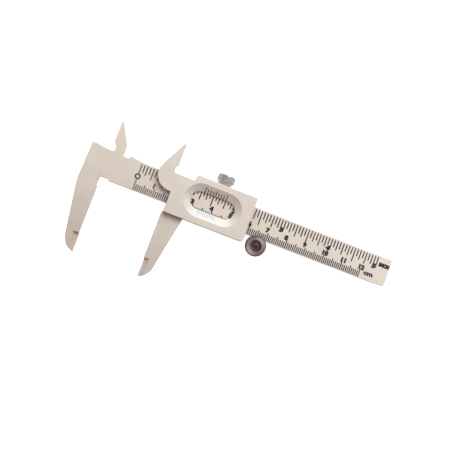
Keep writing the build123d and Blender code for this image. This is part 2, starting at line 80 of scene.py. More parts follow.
class Effect(Enum):
    """Surface effects that several finishes share, each one node group."""

    GRAIN = "moulded_grain"
    GRIME = "corner_and_speck_masks"
    EDGES = "worn_edges"
    RINGS = "turning_rings"


def rgba(colour: Colour) -> tuple[float, float, float, float]:
    """Return an opaque colour."""
    return (*colour, 1.0)


class NodeCanvas:
    """A node tree that is filled with nodes and links in one call each."""

    def __init__(self, tree: bpy.types.NodeTree) -> None:
        """Keep the tree that nodes are added to."""
        self.tree = tree

    def add(
        self, kind: str, sockets: dict[str | int, object] | None = None, **settings: object
    ) -> bpy.types.Node:
        """Add one node.

        Args:
            kind: The node's type name.
            sockets: Input names or numbers, each with a value or with the output that feeds it.
            settings: Attributes of the node.

        Returns:
            The new node.
        """
        node = self.tree.nodes.new(kind)
        for name, value in settings.items():
            setattr(node, name, value)
        for name, value in (sockets or {}).items():
            if isinstance(value, Socket):
                self.tree.links.new(value, node.inputs[name])
            else:
                node.inputs[name].default_value = value
        return node

    def math(self, operation: str, *values: float | Socket, clamp: bool = False) -> Socket:
        """Return the output of a Math node with its inputs filled in order."""
        node = self.add("ShaderNodeMath", dict(enumerate(values)), operation=operation, use_clamp=clamp)
        return node.outputs[0]

    def vector(self, operation: str, *values: object) -> bpy.types.Node:
        """Return a Vector Math node with its inputs filled in order."""
        return self.add("ShaderNodeVectorMath", dict(enumerate(values)), operation=operation)

    def mix(self, factor: float | Socket, first: object, second: object) -> Socket:
        """Return a colour mixed from two.

        Args:
            factor: The share of the second colour.
            first: The colour at factor 0.
            second: The colour at factor 1.

        Returns:
            The mixed colour.
        """
        # The node's colours are its inputs 6 and 7 and its output 2.
        node = self.add("ShaderNodeMix", {0: factor, 6: first, 7: second}, data_type="RGBA")
        return node.outputs[2]

    def noise(self, size: float | Socket, detail: float, where: Socket) -> Socket:
        """Return noise between 0 and 1.

        Args:
            size: The size of its largest forms, in metres.
            detail: How many finer layers it has.
            where: The coordinates that it lies on.

        Returns:
            The noise.
        """
        scale = self.math("DIVIDE", 1.0, size) if isinstance(size, Socket) else 1.0 / size
        node = self.add("ShaderNodeTexNoise", {"Vector": where, "Scale": scale, "Detail": detail})
        return node.outputs["Fac"]

    def stretch(self, value: Socket, low: float | Socket, high: float | Socket) -> Socket:
        """Return a value mapped from between low and high to between 0 and 1, and kept there."""
        node = self.add("ShaderNodeMapRange", {0: value, 1: low, 2: high}, clamp=True)
        return node.outputs[0]

    def place(self) -> Socket:
        """Return the coordinates of the part's own frame, in metres."""
        return self.add("ShaderNodeTexCoord").outputs["Object"]


class EffectGroup(NodeCanvas):
    """A shared effect: a node group with named inputs and outputs."""

    def __init__(self, effect: Effect, inputs: dict[str, object], outputs: dict[str, str]) -> None:
        """Make the group's sockets.

        Args:
            effect: Which effect it is.
            inputs: Socket names with their usual values. A tuple makes a vector socket.
            outputs: Socket names with what they put out, Float or Vector.
        """
        super().__init__(bpy.data.node_groups.new(effect.value, "ShaderNodeTree"))
        interface = self.tree.interface
        for name, value in inputs.items():
            kind = "Vector" if isinstance(value, tuple) else "Float"
            socket = interface.new_socket(name, in_out="INPUT", socket_type=f"NodeSocket{kind}")
            socket.default_value = value
        for name, kind in outputs.items():
            interface.new_socket(name, in_out="OUTPUT", socket_type=f"NodeSocket{kind}")
        self.given = self.add("NodeGroupInput").outputs
        self.result = self.add("NodeGroupOutput")

    def put(self, name: str, value: Socket) -> None:
        """Feed one output of the group."""
        self.tree.links.new(value, self.result.inputs[name])


def grain_group() -> bpy.types.NodeTree:
    """Build the texture of a moulded face, as a fine height and a cloudy tone.

    Returns:
        The group, with the heights of a fine and a broad grain added up.
    """
    broad_step, broad_height = 9.0, 1.5
    group = EffectGroup(
        Effect.GRAIN,
        {"Grain Size": 0.25 * MM, "Cloud Size": 14 * MM},
        {"Height": "Float", "Cloud": "Float"},
    )
    where = group.place()
    fine = group.noise(group.given["Grain Size"], detail=3.0, where=where)
    broad_size = group.math("MULTIPLY", group.given["Grain Size"], broad_step)
    broad = group.noise(broad_size, detail=1.0, where=where)
    group.put("Height", group.math("MULTIPLY_ADD", broad, broad_height, fine))
    cloud = group.noise(group.given["Cloud Size"], detail=2.0, where=where)
    group.put("Cloud", group.stretch(cloud, low=0.3, high=0.7))
    return group.tree


def grime_group() -> bpy.types.NodeTree:
    """Build the mask of corners, which the plastic takes as painted shade and metal as tarnish, and the
    mask of faint specks of dirt on open faces.

    Returns:
        The group, with one mask for the corners and one for the specks.
    """
    patch_size, thinnest = 3 * MM, 0.4
    group = EffectGroup(
        Effect.GRIME,
        {"Reach": 1.5 * MM, "Speck Size": 0.8 * MM, "Specks": 0.3},
        {"Corners": "Float", "Specks": "Float"},
    )
    where = group.place()
    shade = group.add("ShaderNodeAmbientOcclusion", {"Distance": group.given["Reach"]}, samples=8)
    corner = group.math("SUBTRACT", 1.0, shade.outputs["AO"], clamp=True)
    patch = group.stretch(group.noise(patch_size, detail=3.0, where=where), low=0.25, high=0.75)
    uneven = group.math("MULTIPLY_ADD", patch, 1.0 - thinnest, thinnest)
    group.put("Corners", group.math("MULTIPLY", corner, uneven, clamp=True))
    spots = group.noise(group.given["Speck Size"], detail=1.0, where=where)
    speck = group.stretch(spots, low=0.66, high=0.78)
    group.put("Specks", group.math("MULTIPLY", speck, group.given["Specks"]))
    return group.tree


def edges_group() -> bpy.types.NodeTree:
    """Build a normal that rounds sharp edges, and the mask of where handling rubbed them.

    Returns:
        The group, whose mask is broken up by noise along each edge.
    """
    group = EffectGroup(
        Effect.EDGES,
        {"Width": 0.25 * MM, "Break Size": 1.2 * MM},
        {"Normal": "Vector", "Mask": "Float"},
    )
    rounded = group.add("ShaderNodeBevel", {"Radius": group.given["Width"]}, samples=6)
    true = group.add("ShaderNodeNewGeometry").outputs["Normal"]
    bend = group.vector("DOT_PRODUCT", rounded.outputs[0], true).outputs["Value"]
    edge = group.stretch(group.math("SUBTRACT", 1.0, bend), low=0.02, high=0.2)
    breaks = group.noise(group.given["Break Size"], detail=3.0, where=group.place())
    patch = group.stretch(breaks, low=0.35, high=0.65)
    group.put("Normal", rounded.outputs[0])
    group.put("Mask", group.math("MULTIPLY", edge, patch, clamp=True))
    return group.tree


def rings_group() -> bpy.types.NodeTree:
    """Build the marks that a lathe leaves: rings round an axis, and the distance from that axis.

    Returns:
        The group, whose Across input is 0 along the axis and 1 across it.
    """
    group = EffectGroup(
        Effect.RINGS,
        {"Centre": (0.0, 0.0, 0.0), "Across": (1.0, 1.0, 0.0), "Pitch": 0.12 * MM},
        {"Radius": "Float", "Height": "Float"},
    )
    offset = group.vector("SUBTRACT", group.place(), group.given["Centre"]).outputs[0]
    flat = group.vector("MULTIPLY", offset, group.given["Across"]).outputs[0]
    radius = group.vector("LENGTH", flat).outputs["Value"]
    turns = group.math("DIVIDE", radius, group.given["Pitch"])
    sockets = {"W": turns, "Scale": 1.0, "Detail": 2.0}
    wobble = group.add("ShaderNodeTexNoise", sockets, noise_dimensions="1D")
    group.put("Radius", radius)
    group.put("Height", wobble.outputs["Fac"])
    return group.tree


EFFECTS: dict[Effect, Callable[[], bpy.types.NodeTree]] = {
    Effect.GRAIN: grain_group,
    Effect.GRIME: grime_group,
    Effect.EDGES: edges_group,
    Effect.RINGS: rings_group,
}


class MaterialCanvas(NodeCanvas):
    """A material with one Principled shader."""

    def __init__(self, name: str, **constants: object) -> None:
        """Make the material.

        Args:
            name: The material's name.
            constants: Values of the shader's own sockets, with _ for spaces in their names.
        """
        self.material = bpy.data.materials.new(name)
        self.material.use_nodes = True
        super().__init__(self.material.node_tree)
        self.tree.nodes.clear()
        sockets = {key.replace("_", " "): value for key, value in constants.items()}
        self.shader = self.add("ShaderNodeBsdfPrincipled", sockets)
        self.add("ShaderNodeOutputMaterial", {"Surface": self.shader.outputs[0]})

    def effect(self, effect: Effect, **values: object) -> bpy.types.Node:
        """Place a shared effect.

        Args:
            effect: Which one.
            values: Its inputs, with _ for spaces in their names.

        Returns:
            The group node.
        """
        group = bpy.data.node_groups.get(effect.value) or EFFECTS[effect]()
        node = self.add("ShaderNodeGroup", node_tree=group)
        for name, value in values.items():
            node.inputs[name.replace("_", " ")].default_value = value
        return node

    def feed(self, name: str, value: Socket) -> None:
        """Link one input of the shader."""
        self.tree.links.new(value, self.shader.inputs[name])

    def bump(self, height: Socket, depth: float, normal: Socket | None = None) -> None:
        """Feed the shader's normal from a height.

        Args:
            height: The height between 0 and 1.
            depth: How deep a height of 1 is, in metres.
            normal: The normal that the bump stands on.
        """
        sockets: dict[str | int, object] = {"Height": height, "Distance": depth, "Strength": 1.0}
        if normal is not None:
            sockets["Normal"] = normal
        self.feed("Normal", self.add("ShaderNodeBump", sockets).outputs[0])


@dataclass(frozen=True)
class MouldedPlastic:
    """Off-white moulded plastic: cloudy, painted shade in corners and towards the jaws, rubbed edges,
    dirt specks.

    The painted shade towards the jaws starts at the shorter reach from the line along the middle of the
    scale, whose place across the part is scale_line, and is full at the longer reach from it.
    """

    name: str
    light: Colour = (0.725, 0.6, 0.505)
    deep: Colour = (0.67, 0.55, 0.455)
    # The dark colour serves both the real dirt specks and the painted shade.
    dirt: Colour = (0.3, 0.16, 0.085)
    rubbed: Colour = (0.72, 0.63, 0.55)
    roughness: float = 0.32
    grain_depth: float = 0.004 * MM
    cloud_dullness: float = 0.08
    # How dark the painted shade in corners gets, then the real dirt specks, how both dull the finish,
    # and how far the corner mask reaches.
    corner_dirt: float = 0.42
    speck_dirt: float = 0.25
    dirt_dullness: float = 0.3
    dirt_reach: float = 4 * MM
    edge_width: float = 0.12 * MM
    scale_line: float = 11 * MM
    # Painted shade towards the jaws' ends: where it starts and where it is full, how strong it is and
    # how patchy.
    clean_reach: float = 12 * MM
    soiled_reach: float = 32 * MM
    soil: float = 0.16
    soil_patch: float = 5 * MM
    soil_unevenness: float = 0.6

    def handling(self, canvas: MaterialCanvas) -> Socket:
        """Work out the painted shade that darkens the plastic from the scale towards the ends of the
        jaws.

        Args:
            canvas: The material that is being made.

        Returns:
            The share of painted shade, which is patchy.
        """
        where = canvas.place()
        across = canvas.add("ShaderNodeSeparateXYZ", {0: where}).outputs["Y"]
        away = canvas.math("ABSOLUTE", canvas.math("SUBTRACT", across, self.scale_line))
        toward_jaws = canvas.stretch(away, self.clean_reach, self.soiled_reach)
        cloud = canvas.noise(self.soil_patch, detail=3.0, where=where)
        evened = 1.0 - self.soil_unevenness / 2
        patch = canvas.math("MULTIPLY_ADD", cloud, self.soil_unevenness, evened)
        return canvas.math("MULTIPLY", canvas.math("MULTIPLY", toward_jaws, patch), self.soil)

    def material(self) -> Material:
        """Make the material.

        Returns:
            The finished material.
        """
        canvas = MaterialCanvas(
            self.name,
            IOR=1.53,
            Subsurface_Weight=0.06,
            Subsurface_Radius=(1.0, 0.7, 0.45),
            Subsurface_Scale=0.8 * MM,
        )
        grain = canvas.effect(Effect.GRAIN)
        corner_masks = canvas.effect(Effect.GRIME, Reach=self.dirt_reach)
        edges = canvas.effect(Effect.EDGES, Width=self.edge_width)
        colour = canvas.mix(grain.outputs["Cloud"], rgba(self.light), rgba(self.deep))
        colour = canvas.mix(edges.outputs["Mask"], colour, rgba(self.rubbed))
        jaw_shaded = self.handling(canvas)
        # Painted shade: the corners and the plastic towards the jaws' ends are darkened towards the dark
        # colour, before the real dirt specks are added.
        painted_shade = canvas.math("MULTIPLY_ADD", corner_masks.outputs["Corners"], self.corner_dirt, jaw_shaded)
        specks = corner_masks.outputs["Specks"]
        shade_and_specks = canvas.math("MULTIPLY_ADD", specks, self.speck_dirt, painted_shade, clamp=True)
        canvas.feed("Base Color", canvas.mix(shade_and_specks, colour, rgba(self.dirt)))
        dull = canvas.math("MULTIPLY_ADD", grain.outputs["Cloud"], self.cloud_dullness, self.roughness)
        dulled = canvas.math("MULTIPLY_ADD", shade_and_specks, self.dirt_dullness, dull, clamp=True)
        canvas.feed("Roughness", dulled)
        canvas.bump(grain.outputs["Height"], self.grain_depth, edges.outputs["Normal"])
        return canvas.material


@dataclass(frozen=True)
class PrintedInk:
    """Ink printed on the plastic, uneven in its cover and rubbed thin round a spot by the zero line."""

    name: str
    ink: Colour
    thin: Colour
    wear: float = 0.56
    roughness: float = 0.45
    cover_dullness: float = 0.2
    cover_depth: float = 0.004 * MM
    cover_patch: float = 0.5 * MM
    wear_patch: float = 11 * MM
    rubbed_spot: tuple[float, float, float] = (-47 * MM, 7.9 * MM, 6.7 * MM)
    rubbed_core: float = 5 * MM
    rubbed_reach: float = 11 * MM

    def material(self) -> Material:
        """Make the material.

        Returns:
            The finished material.
        """
        canvas = MaterialCanvas(self.name, IOR=1.48, Specular_IOR_Level=0.3)
        where = canvas.place()
        cover = canvas.noise(self.cover_patch, detail=4.0, where=where)
        worn = canvas.noise(self.wear_patch, detail=2.0, where=where)
        gaps = canvas.stretch(cover, low=0.42, high=0.7)
        both = canvas.math("MULTIPLY", gaps, canvas.stretch(worn, low=0.35, high=0.7))
        apart = canvas.vector("DISTANCE", where, self.rubbed_spot).outputs["Value"]
        near = canvas.math("SUBTRACT", 1.0, canvas.stretch(apart, self.rubbed_core, self.rubbed_reach))
        rubbed = canvas.math("MULTIPLY", near, canvas.stretch(cover, low=0.2, high=0.6))
        thin = canvas.math("MULTIPLY_ADD", both, self.wear, rubbed, clamp=True)
        canvas.feed("Base Color", canvas.mix(thin, rgba(self.ink), rgba(self.thin)))
        dulled = canvas.math("MULTIPLY_ADD", cover, self.cover_dullness, self.roughness)
        canvas.feed("Roughness", dulled)
        canvas.bump(cover, self.cover_depth)
        return canvas.material


@dataclass(frozen=True)
class TurnedMetal:
    """Metal turned on a lathe: rings round an axis, and a colour that changes with the radius.

    Each zone is a radius in millimetres and the colour there.
    """

    name: str
    centre: Vector
    across: tuple[float, float, float]
    zones: tuple[tuple[float, Colour], ...]
    tarnish: Colour
    roughness: float
    anisotropy: float
    ring_depth: float = 0.006 * MM
    ring_dullness: float = 0.12
    tarnish_cover: float = 0.3
    tarnish_patch: float = 1.6 * MM
    tarnish_dullness: float = 0.35
    corner_tarnish: float = 0.7
    dirt_reach: float = 0.8 * MM
    speck_size: float = 0.5 * MM
    edge_width: float = 0.08 * MM
    tangent_axis: str = "Z"
    groove_turn: float = ACROSS_GROOVES

    def material(self) -> Material:
        """Make the material.

        Returns:
            The finished material.
        """
        canvas = MaterialCanvas(
            self.name, Metallic=1.0, Anisotropic=self.anisotropy, Anisotropic_Rotation=self.groove_turn
        )
        rings = canvas.effect(Effect.RINGS, Centre=self.centre, Across=self.across)
        corner_masks = canvas.effect(Effect.GRIME, Reach=self.dirt_reach, Speck_Size=self.speck_size)
        edges = canvas.effect(Effect.EDGES, Width=self.edge_width)
        reach = self.zones[-1][0]
        share = canvas.math("DIVIDE", rings.outputs["Radius"], reach * MM, clamp=True)
        ramp = canvas.add("ShaderNodeValToRGB", {0: share})
        stops = ramp.color_ramp.elements
        stops.remove(stops[0])
        for number, (radius, colour) in enumerate(self.zones):
            stop = stops[0] if number == 0 else stops.new(radius / reach)
            stop.position = radius / reach
            stop.color = rgba(colour)
        stain = canvas.noise(self.tarnish_patch, detail=4.0, where=canvas.place())
        patch = canvas.stretch(stain, low=0.45, high=0.75)
        stained = canvas.math("MULTIPLY", patch, self.tarnish_cover)
        corners = corner_masks.outputs["Corners"]
        dark = canvas.math("MULTIPLY_ADD", corners, self.corner_tarnish, stained, clamp=True)
        canvas.feed("Base Color", canvas.mix(dark, ramp.outputs[0], rgba(self.tarnish)))
        height = rings.outputs["Height"]
        ringed = canvas.math("MULTIPLY_ADD", height, self.ring_dullness, self.roughness)
        dulled = canvas.math("MULTIPLY_ADD", dark, self.tarnish_dullness, ringed, clamp=True)
        canvas.feed("Roughness", dulled)
        canvas.bump(height, self.ring_depth, edges.outputs["Normal"])
        tangent = canvas.add("ShaderNodeTangent", direction_type="RADIAL", axis=self.tangent_axis)
        canvas.feed("Tangent", tangent.outputs[0])
        return canvas.material


@dataclass(frozen=True)
class PlatedMetal:
    """Plated steel or brass: fine scratches and dull patches over an even colour."""

    name: str
    colour: Colour
    tarnish: Colour
    roughness: float = 0.32
    cover: float = 0.35
    corner_tarnish: float = 0.8
    tarnish_patch: float = 1.3 * MM
    tarnish_dullness: float = 0.35
    edge_shine: float = 0.6
    shine_gain: float = 1.25
    dirt_reach: float = 0.7 * MM
    speck_size: float = 0.4 * MM
    edge_width: float = 0.1 * MM
    edge_break: float = 0.6 * MM
    scratch_size: float = 0.12 * MM
    scratch_depth: float = 0.004 * MM

    def material(self) -> Material:
        """Make the material.

        Returns:
            The finished material.
        """
        canvas = MaterialCanvas(self.name, Metallic=1.0)
        corner_masks = canvas.effect(Effect.GRIME, Reach=self.dirt_reach, Speck_Size=self.speck_size)
        edges = canvas.effect(Effect.EDGES, Width=self.edge_width, Break_Size=self.edge_break)
        where = canvas.place()
        stain = canvas.noise(self.tarnish_patch, detail=5.0, where=where)
        dull = canvas.math("MULTIPLY", canvas.stretch(stain, low=0.4, high=0.7), self.cover)
        corners = corner_masks.outputs["Corners"]
        dark = canvas.math("MULTIPLY_ADD", corners, self.corner_tarnish, dull, clamp=True)
        worn = canvas.math("MULTIPLY", edges.outputs["Mask"], self.edge_shine)
        bright = tuple(min(1.0, part * self.shine_gain) for part in self.colour)
        colour = canvas.mix(dark, rgba(self.colour), rgba(self.tarnish))
        canvas.feed("Base Color", canvas.mix(worn, colour, rgba(bright)))
        dulled = canvas.math("MULTIPLY_ADD", dark, self.tarnish_dullness, self.roughness, clamp=True)
        canvas.feed("Roughness", dulled)
        scratches = canvas.noise(self.scratch_size, detail=3.0, where=where)
        canvas.bump(scratches, self.scratch_depth, edges.outputs["Normal"])
        return canvas.material


@dataclass(frozen=True)
class PrintedFace:
    """A flat face that carries print, with its own axes."""

    zero: Vector
    along: Vector
    across: Vector

    @property
    def outward(self) -> Vector:
        """Return the direction that the face looks to."""
        return self.along.cross(self.across).normalized()

    def matrix(self, u: float, v: float, height: float = 0.0) -> Matrix:
        """Return the placement of a piece that is drawn flat in millimetres.

        Args:
            u: Its place along the face, in millimetres.
            v: Its place across the face, in millimetres.
            height: How far it stands off the face, in millimetres.

        Returns:
            The placement, which also turns millimetres into metres.
        """
        origin = self.zero + (self.along * u + self.across * v + self.outward * height) * MM
        turn = Matrix((self.along, self.across, self.outward)).transposed().to_4x4()
        return Matrix.Translation(origin) @ turn @ Matrix.Scale(MM, 4)


@dataclass(frozen=True)
class Lettering:
    """How letters are printed: their height, their share of the usual width and their strokes' weight.

    The weight is how much thicker than usual the strokes are, in the font's own units.
    """

    height: float
    spread: float
    weight: float


@dataclass
class InkLayer:
    """One print run: thin raised marks that are joined in one mesh. Its sizes are in millimetres."""

    name: str
    face: PrintedFace
    thickness: float = 0.02
    sink: float = 0.004
    weld: float = 0.001
    ring_steps: int = 64
    curve_steps: int = 4
    mesh: bmesh.types.BMesh = field(default_factory=bmesh.new)

    def bar(self, u: float, low: float, high: float, width: float) -> None:
        """Add one straight mark across the face.

        Args:
            u: The mark's place along the face.
            low: Where it starts, across the face.
            high: Where it ends.
            width: Its width.
        """
        turn = Matrix.Diagonal((width, high - low, self.thickness + self.sink, 1.0))
        lift = (self.thickness - self.sink) / 2
        bmesh.ops.create_cube(
            self.mesh, size=1.0, matrix=self.face.matrix(u, (low + high) / 2, lift) @ turn
        )

    def ring(self, u: float, v: float, outer: float, inner: float) -> None:
        """Add a round mark.

        Args:
            u: The ring's centre along the face.
            v: Its centre across the face.
            outer: Its outer radius.
            inner: Its inner radius.
        """
        place = self.face.matrix(u, v)
        profile = (
            (outer, -self.sink),
            (outer, self.thickness),
            (inner, self.thickness),
            (inner, -self.sink),
        )
        loops = []
        for step in range(self.ring_steps):
            angle = 2 * math.pi * step / self.ring_steps
            ray = Vector((math.cos(angle), math.sin(angle), 0.0))
            spots = [place @ (ray * radius + Vector((0, 0, height))) for radius, height in profile]
            loops.append([self.mesh.verts.new(spot) for spot in spots])
        for step, here in enumerate(loops):
            ahead = loops[(step + 1) % self.ring_steps]
            for side in range(len(profile)):
                corner = (side + 1) % len(profile)
                self.mesh.faces.new((here[side], ahead[side], ahead[corner], here[corner]))

    def text(self, words: str, u: float, v: float, style: Lettering) -> None:
        """Add figures or letters.

        Args:
            words: What is printed.
            u: The middle of the words along the face.
            v: The middle of the words across the face.
            style: How they are printed.
        """
        curve = bpy.data.curves.new("lettering", "FONT")
        curve.body = words
        curve.offset = style.weight
        curve.resolution_u = self.curve_steps
        # Any depth serves here, as the letters are scaled to the print's own depth below.
        curve.extrude = 0.5
        thing = bpy.data.objects.new("lettering", curve)
        bpy.context.scene.collection.objects.link(thing)
        depsgraph = bpy.context.evaluated_depsgraph_get()
        shape = bpy.data.meshes.new_from_object(thing.evaluated_get(depsgraph))
        corners = [vertex.co for vertex in shape.vertices]
        low = Vector([min(corner[axis] for corner in corners) for axis in range(3)])
        high = Vector([max(corner[axis] for corner in corners) for axis in range(3)])
        size = high - low
        scale = style.height / size.y
        depth = (self.thickness + self.sink) / size.z
        fit = Matrix.Diagonal((scale * style.spread, scale, depth, 1.0))
        centre = Matrix.Translation(-(low + high) / 2)
        lift = (self.thickness - self.sink) / 2
        shape.transform(self.face.matrix(u, v, lift) @ fit @ centre)
        self.mesh.from_mesh(shape)
        bpy.data.objects.remove(thing)
        bpy.data.curves.remove(curve)
        bpy.data.meshes.remove(shape)

    def finish(self, body: str, material: Material) -> None:
        """Turn the marks into one piece that rides on a body.

        Args:
            body: The body that carries the print.
            material: The ink.
        """
        bmesh.ops.remove_doubles(self.mesh, verts=self.mesh.verts, dist=self.weld * MM)
        bmesh.ops.recalc_face_normals(self.mesh, faces=self.mesh.faces)
        data = bpy.data.meshes.new(self.name)
        self.mesh.to_mesh(data)
        self.mesh.free()
        data.materials.append(material)
        piece = bpy.data.objects.new(self.name, data)
        bpy.context.scene.collection.objects.link(piece)
        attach(piece, body)
        LOG.info("%s: %d faces on %s", self.name, len(data.polygons), body)


def dress(node: str, material: Material) -> None:
    """Give a CAD node its finish.

    Args:
        node: The node's name.
        material: The finish.
    """
    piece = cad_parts[node]
    piece.material_slots[0].material = material
    LOG.info("%s: dressed in %s", node, material.name)


@dataclass
class Beam:
    """The beam with its jaws and its printed scales. Its sizes are in millimetres.

    The figure at pushed_mark stands a little further right than the others.
    """

    scale_length: float = 120.0
    end_margin: float = 14.5
    jaw_length: float = 38.4
    inch_line_width: float = 0.6
    metric_line_width: float = 0.56
    zero_width: float = 0.5
    inch_top: float = 13.3
    whole_inch_foot: float = 7.4
    inch_feet: tuple[tuple[int, float], ...] = ((8, 6.2), (4, 7.4), (2, 8.4), (1, 9.6))
    inches: int = 5
    inch_parts: int = 16
    metric_foot: float = 0.25
    millimetre_top: float = 3.25
    half_top: float = 4.15
    centimetre_top: float = 4.2
    figures: Lettering = Lettering(height=2.7, spread=1.1, weight=0.09)
    inch_figure_lift: float = -0.5
    inch_figure_shift: float = -1.1
    figure_lift: float = -0.15
    figure_shift: float = -0.85
    double_figure_shift: float = 0.4
    pushed_mark: int = 60
    push: float = 0.45
    inch_word: Lettering = Lettering(height=2.2, spread=1.0, weight=0.15)
    inch_word_place: tuple[float, float] = (131.15, 10.0)
    metric_word: Lettering = Lettering(height=1.8, spread=1.35, weight=0.06)
    metric_word_place: tuple[float, float] = (124.8, 3.2)
    ring_middle: float = 7.1
    ring_outer: float = 1.5
    ring_inner: float = 0.7
    ring_overlap: float = 0.15

    def face(self) -> PrintedFace:
        """Find the printed face from the beam's own box.

        Returns:
            The face, with its zero where the zero line meets the beam's lower edge.
        """
        low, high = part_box("beam")
        reach = self.scale_length + self.end_margin
        zero = Vector((high.x - reach * MM, low.y + self.jaw_length * MM, high.z))
        return PrintedFace(zero, Vector((1, 0, 0)), Vector((0, 1, 0)))

    def print_inches(self, face: PrintedFace, ink: Material) -> None:
        """Print the inch scale along the upper edge.

        Args:
            face: The beam's face.
            ink: The ink.
        """
        layer = InkLayer("beam_inch_scale", face)
        for part in range(1, self.inches * self.inch_parts + 1):
            u = INCH * part / self.inch_parts
            whole, rest = divmod(part, self.inch_parts)
            if rest:
                foot = next(foot for step, foot in self.inch_feet if rest % step == 0)
            else:
                foot = self.whole_inch_foot
                middle = foot + self.inch_figure_lift + self.figures.height / 2
                layer.text(str(whole), u + self.inch_figure_shift, middle, self.figures)
            layer.bar(u, foot, self.inch_top, self.inch_line_width)
        layer.text("INCH", *self.inch_word_place, self.inch_word)
        layer.finish("beam", ink)

    def print_centimetres(self, face: PrintedFace, ink: Material) -> None:
        """Print the centimetre scale along the lower edge, with the shared zero line.

        Args:
            face: The beam's face.
            ink: The ink.
        """
        layer = InkLayer("beam_centimetre_scale", face)
        middle = self.centimetre_top + self.figure_lift + self.figures.height / 2
        for millimetre in range(1, int(self.scale_length) + 1):
            top = self.millimetre_top
            if millimetre % 5 == 0:
                top = self.half_top
            if millimetre % 10 == 0:
                top = self.centimetre_top
                number = str(millimetre // 10)
                shift = self.figure_shift if len(number) == 1 else self.double_figure_shift
                if millimetre == self.pushed_mark:
                    shift += self.push
                layer.text(number, millimetre + shift, middle, self.figures)
            layer.bar(millimetre, self.metric_foot, top, self.metric_line_width)
        layer.text("cm", *self.metric_word_place, self.metric_word)
        layer.ring(0.0, self.ring_middle, self.ring_outer, self.ring_inner)
        cut = self.ring_outer - self.ring_overlap
        layer.bar(0.0, self.metric_foot, self.ring_middle - cut, self.zero_width)
        layer.bar(0.0, self.ring_middle + cut, self.inch_top, self.zero_width)
        layer.finish("beam", ink)

    def build(self, plastic: Material, ink: Material) -> None:
        """Dress the beam and print its scales.

        Args:
            plastic: The beam's plastic.
            ink: The black ink.
        """
        dress("beam", plastic)
        face = self.face()
        self.print_inches(face, ink)
        self.print_centimetres(face, ink)


@dataclass
class Slider:
    """The slider with its window, its two verniers and its back cover. Its sizes are in millimetres."""

    plate_right: float = 25.6
    window_middle: float = 7.05
    window_half_height: float = 4.45
    window_lip: float = 0.5
    plate_thickness: float = 2.6
    bevel_run: float = 3.9
    line_width: float = 0.44
    inch_divisions: int = 8
    inch_long_every: int = 4
    inch_span: float = INCH * 7 / 16
    metric_divisions: int = 10
    metric_long_every: int = 5
    metric_span: float = 9.0
    long_line: float = 3.2
    short_line: float = 2.4
    edge_gap: float = 0.08

    def bevel_face(self, side: int, beam: PrintedFace) -> PrintedFace:
        """Return the sloping face above or below the window.

        Args:
            side: 1 for the upper bevel and -1 for the lower one.
            beam: The beam's face, which gives the lower edge of the beam.

        Returns:
            A face whose v is 0 at the window's edge and grows away from the window on the upper bevel,
            and shrinks away from it on the lower one.
        """
        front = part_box("slider_body")[1]
        rise = (self.plate_thickness - self.window_lip) * MM
        edge = self.window_middle + side * self.window_half_height
        zero = Vector((front.x - self.plate_right * MM, beam.zero.y + edge * MM, front.z - rise))
        across = Vector((0, self.bevel_run * MM, side * rise)).normalized()
        return PrintedFace(zero, Vector((1, 0, 0)), across)

    def print_verniers(self, beam: PrintedFace, black: Material, blue: Material) -> None:
        """Print both verniers on the bevels of the window.

        Args:
            beam: The beam's face.
            black: The ink of the upper vernier.
            blue: The ink of the lower vernier.
        """
        upper = InkLayer("slider_inch_vernier", self.bevel_face(1, beam))
        for line in range(self.inch_divisions + 1):
            length = self.short_line if line % self.inch_long_every else self.long_line
            u = self.inch_span * line / self.inch_divisions
            upper.bar(u, self.edge_gap, length, self.line_width)
        upper.finish("slider", black)
        lower = InkLayer("slider_metric_vernier", self.bevel_face(-1, beam))
        for line in range(self.metric_divisions + 1):
            length = self.short_line if line % self.metric_long_every else self.long_line
            u = self.metric_span * line / self.metric_divisions
            lower.bar(u, -length, -self.edge_gap, self.line_width)
        lower.finish("slider", blue)

    def build(self, beam: PrintedFace, plastic: Material, black: Material, blue: Material) -> None:
        """Dress the slider and print its verniers.

        Args:
            beam: The beam's face.
            plastic: The slider's plastic.
            black: The ink of the upper vernier.
            blue: The ink of the lower vernier.
        """
        for node in ("slider_body", "back_cover"):
            dress(node, plastic)
        self.print_verniers(beam, black, blue)


@dataclass
class LockScrew:
    """The thumb screw above the slider, with its insert, its pad and the leaf spring.

    The knob's end is bright up to bright_end from its axis, and duller from dull_start, in millimetres.
    """

    bare_nickel: Colour = (0.68, 0.63, 0.585)
    nickel: Colour = (0.44, 0.41, 0.385)
    dark_nickel: Colour = (0.26, 0.235, 0.21)
    brass: Colour = (0.6, 0.42, 0.18)
    dark_brass: Colour = (0.14, 0.08, 0.03)
    steel: Colour = (0.3, 0.3, 0.32)
    dark_steel: Colour = (0.08, 0.07, 0.07)
    bright_end: float = 4.15
    dull_start: float = 4.4
    knob_radius: float = 4.5

    def build(self) -> None:
        """Dress the screw and what it works on."""
        low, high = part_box("lock_screw")
        knob = TurnedMetal(
            "nickel_plate",
            centre=(low + high) / 2,
            across=(1.0, 0.0, 1.0),
            zones=(
                (0.0, self.bare_nickel),
                (self.bright_end, self.bare_nickel),
                (self.dull_start, self.nickel),
                (self.knob_radius, self.nickel),
            ),
            tarnish=self.dark_nickel,
            roughness=0.4,
            anisotropy=0.8,
            corner_tarnish=0.2,
            tangent_axis="Y",
        )
        dress("lock_screw", knob.material())
        brass = PlatedMetal("turned_brass", self.brass, self.dark_brass).material()
        dress("lock_insert", brass)
        dress("lock_pad", brass)
        dress("gib_spring", PlatedMetal("blued_spring_steel", self.steel, self.dark_steel).material())


